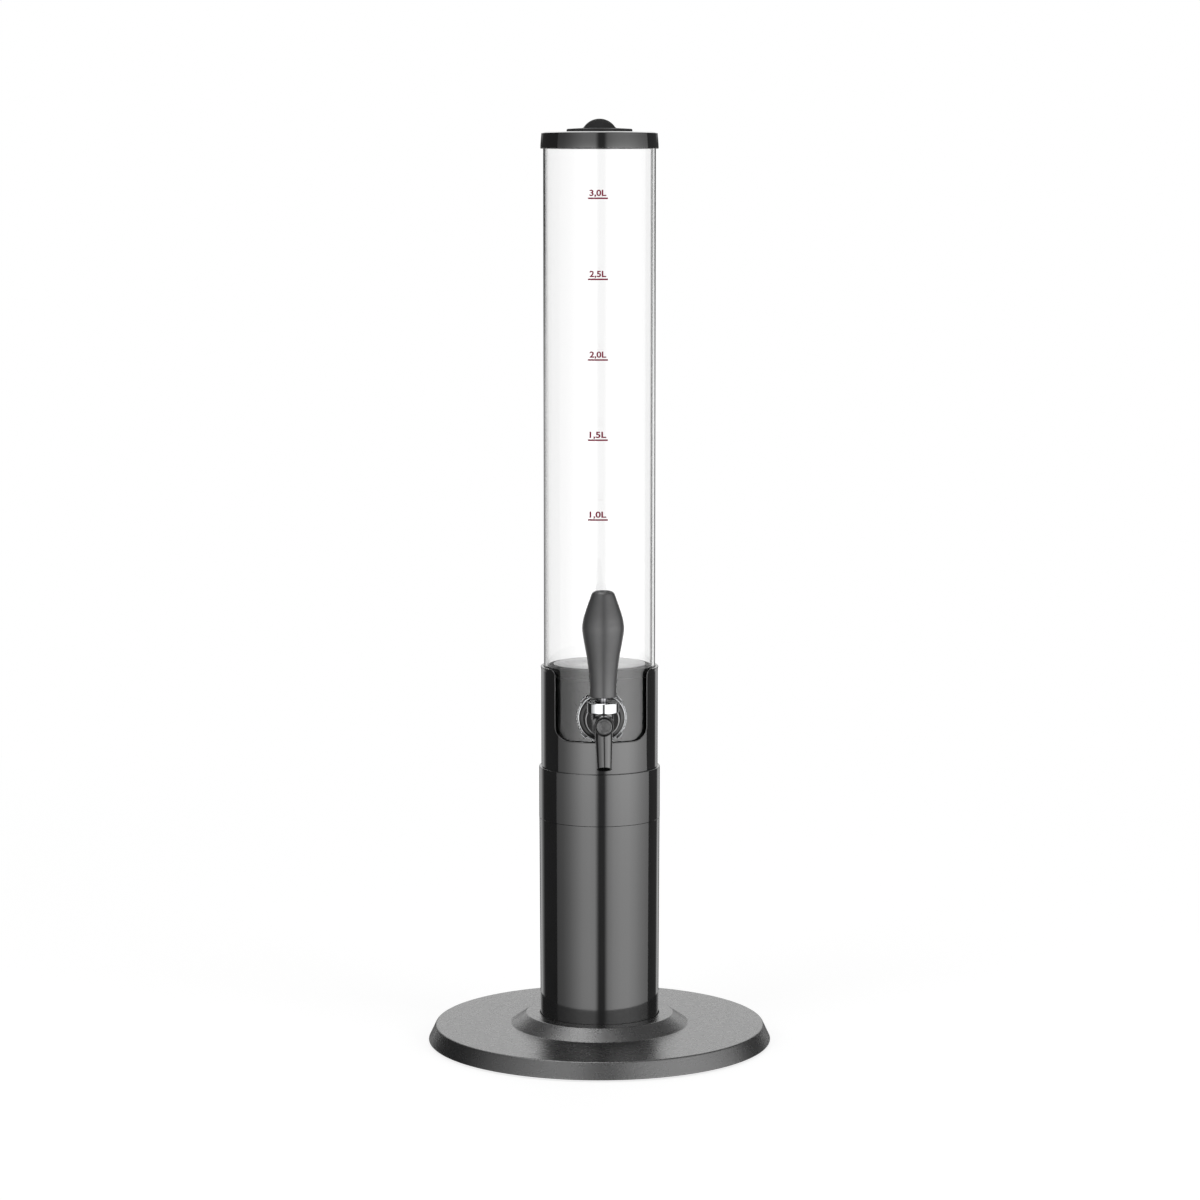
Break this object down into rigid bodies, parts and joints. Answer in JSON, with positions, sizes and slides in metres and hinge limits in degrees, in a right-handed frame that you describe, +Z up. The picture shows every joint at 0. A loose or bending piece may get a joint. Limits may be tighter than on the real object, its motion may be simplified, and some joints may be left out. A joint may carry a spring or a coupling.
{
  "type": "beer tower dispenser",
  "caption": "Tall clear drink tank on a weighted round base and black column, with a windowed holder, a lever tap at its foot, and a lid with a filling plug.",
  "frame": {"origin": "centre of the footprint, on the surface that the rubber feet stand on", "axes": "+Z up along the tank's axis, -Y to the front, where the tap points, +X to the right of someone who faces the tap"},
  "size_m": [0.311, 0.311, 0.833],
  "materials": {
    "black_abs": "fine-grained matt black plastic",
    "black_gloss": "polished black plastic",
    "rubber": "black rubber",
    "steel": "plain steel",
    "dark_steel": "darkened steel",
    "clear_acrylic": "clear polished acrylic",
    "chrome": "polished chrome plate",
    "grey_satin": "satin dark grey plastic",
    "white_seal": "white acetal",
    "brass": "plain brass"
  },
  "bodies": {
    "stand": {"base_shell": "black_abs", "ballast_ring": "steel", "bottom_cover": "black_abs", "cover_screws": "steel", "rubber_feet": "rubber", "column": "black_gloss", "column_screws": "steel", "tank_holder": "black_gloss", "holder_screws": "steel", "seat_ring": "rubber"},
    "tank": {"tank_tube": "clear_acrylic", "tank_cup": "black_gloss", "cup_seals": "rubber", "saddle_gasket": "rubber", "flange_ring": "chrome", "tap_flange": "black_gloss", "tap_shank": "chrome", "shank_gasket": "rubber", "shank_nut": "chrome", "tap_body": "black_gloss", "body_plug": "black_gloss", "bonnet": "chrome", "ball_seat": "white_seal", "friction_washer": "white_seal"},
    "lever": {"lever_stem": "dark_steel", "tap_handle": "grey_satin", "handle_insert": "brass"},
    "valve": {"valve_shaft": "white_seal", "valve_washer": "rubber", "valve_screw": "steel"},
    "lid": {"lid_cap": "black_gloss"},
    "plug": {"lid_plug": "black_abs", "plug_seal": "rubber"}
  },
  "joints": [
    {"name": "tank_lift", "type": "slide", "parent": "stand", "child": "tank", "axis": [0, 0, 1], "range_m": [0, 0.14]},
    {"name": "tap_lever", "type": "hinge", "parent": "tank", "child": "lever", "pos_m": [0, -0.0825, 0.316], "axis": [1, 0, 0], "range_deg": [0, 20]},
    {"name": "valve_slide", "type": "slide", "parent": "tank", "child": "valve", "axis": [0, 1, 0], "range_m": [0, 0.0039]},
    {"name": "lid_lift", "type": "slide", "parent": "tank", "child": "lid", "axis": [0, 0, 1], "range_m": [0, 0.08]},
    {"name": "plug_pull", "type": "slide", "parent": "lid", "child": "plug", "axis": [0, 0, 1], "range_m": [0, 0.03]}
  ],
  "couplings": [
    {"joint": "valve_slide", "follows": "tap_lever", "m_per_rad": 0.0108}
  ]
}
